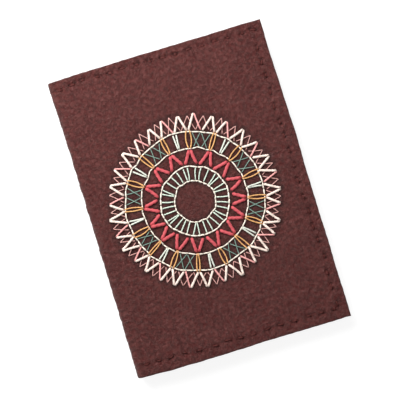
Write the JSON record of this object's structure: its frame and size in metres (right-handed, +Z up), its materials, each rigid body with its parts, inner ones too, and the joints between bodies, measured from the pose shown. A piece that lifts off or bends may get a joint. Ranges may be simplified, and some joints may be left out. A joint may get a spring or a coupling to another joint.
{
  "type": "needle case",
  "caption": "Folded felt needle book: lined felt cover with an embroidered round medallion, a narrow spine and felt pages that hold needles.",
  "frame": {"origin": "under the middle of the closed book, on the surface it lies on", "axes": "+X from the spine to the fore edge, +Y along the spine towards the top edge, +Z up out of the front cover"},
  "size_m": [0.09, 0.126, 0.01],
  "materials": {
    "cover_felt": "soft matt wool felt, mottled brown",
    "lining_felt": "soft matt wool felt, lighter brown",
    "page_felt": "soft matt felt, cream",
    "seam_cotton": "stranded cotton in the colour of the felt",
    "white_cotton": "stranded cotton, off-white",
    "mint_cotton": "stranded cotton, pale mint",
    "coral_cotton": "stranded cotton, coral",
    "amber_cotton": "stranded cotton, amber",
    "teal_cotton": "stranded cotton, dusty teal",
    "pale_cotton": "stranded cotton, very pale grey-green",
    "cream_cotton": "stranded cotton, cream",
    "pink_cotton": "stranded cotton, dusty pink"
  },
  "bodies": {
    "back_cover": {"outer_felt_back": "cover_felt", "lining_felt_back": "lining_felt", "seam_thread_back": "seam_cotton"},
    "spine": {"outer_felt_spine": "cover_felt", "lining_felt_spine": "lining_felt", "outer_page_fold": "page_felt", "inner_page_fold": "page_felt", "binding_thread_outside": "seam_cotton", "binding_thread_inside": "seam_cotton", "spine_stitch_top": "seam_cotton", "spine_stitch_bottom": "seam_cotton"},
    "front_cover": {"outer_felt_front": "cover_felt", "lining_felt_front": "lining_felt", "seam_thread_front": "seam_cotton", "centre_ring": "white_cotton", "mint_spokes": "mint_cotton", "spoke_ring": "white_cotton", "coral_points": "coral_cotton", "middle_ring": "white_cotton", "amber_loops": "amber_cotton", "teal_crosses_under": "teal_cotton", "teal_crosses_over": "teal_cotton", "pale_bars": "pale_cotton", "outer_ring": "white_cotton", "cream_points": "cream_cotton", "pink_points": "pink_cotton"},
    "leaf_1": {"page_1": "page_felt"},
    "leaf_2": {"page_2": "page_felt"},
    "leaf_3": {"page_3": "page_felt"},
    "leaf_4": {"page_4": "page_felt"}
  },
  "joints": [
    {"name": "spine_fold", "type": "hinge", "parent": "back_cover", "child": "spine", "pos_m": [-0.04383, 0, 0.00118], "axis": [0, -1, 0], "range_deg": [0, 90]},
    {"name": "front_fold", "type": "hinge", "parent": "spine", "child": "front_cover", "pos_m": [-0.04383, 0, 0.00788], "axis": [0, -1, 0], "range_deg": [0, 88]},
    {"name": "leaf_1_turn", "type": "hinge", "parent": "spine", "child": "leaf_1", "pos_m": [-0.04205, 0, 0.0061], "axis": [0, -1, 0], "range_deg": [0, 86.4]},
    {"name": "leaf_2_turn", "type": "hinge", "parent": "spine", "child": "leaf_2", "pos_m": [-0.041, 0, 0.00505], "axis": [0, -1, 0], "range_deg": [0, 79.2]},
    {"name": "leaf_3_turn", "type": "hinge", "parent": "spine", "child": "leaf_3", "pos_m": [-0.041, 0, 0.004], "axis": [0, -1, 0], "range_deg": [-79.2, 0]},
    {"name": "leaf_4_turn", "type": "hinge", "parent": "spine", "child": "leaf_4", "pos_m": [-0.04205, 0, 0.00295], "axis": [0, -1, 0], "range_deg": [-86.4, 0]}
  ],
  "couplings": [
    {"joint": "front_fold", "follows": "spine_fold", "ratio": 0.9777},
    {"joint": "leaf_1_turn", "follows": "spine_fold", "ratio": 0.96},
    {"joint": "leaf_2_turn", "follows": "spine_fold", "ratio": 0.88},
    {"joint": "leaf_3_turn", "follows": "spine_fold", "ratio": -0.88},
    {"joint": "leaf_4_turn", "follows": "spine_fold", "ratio": -0.96}
  ]
}
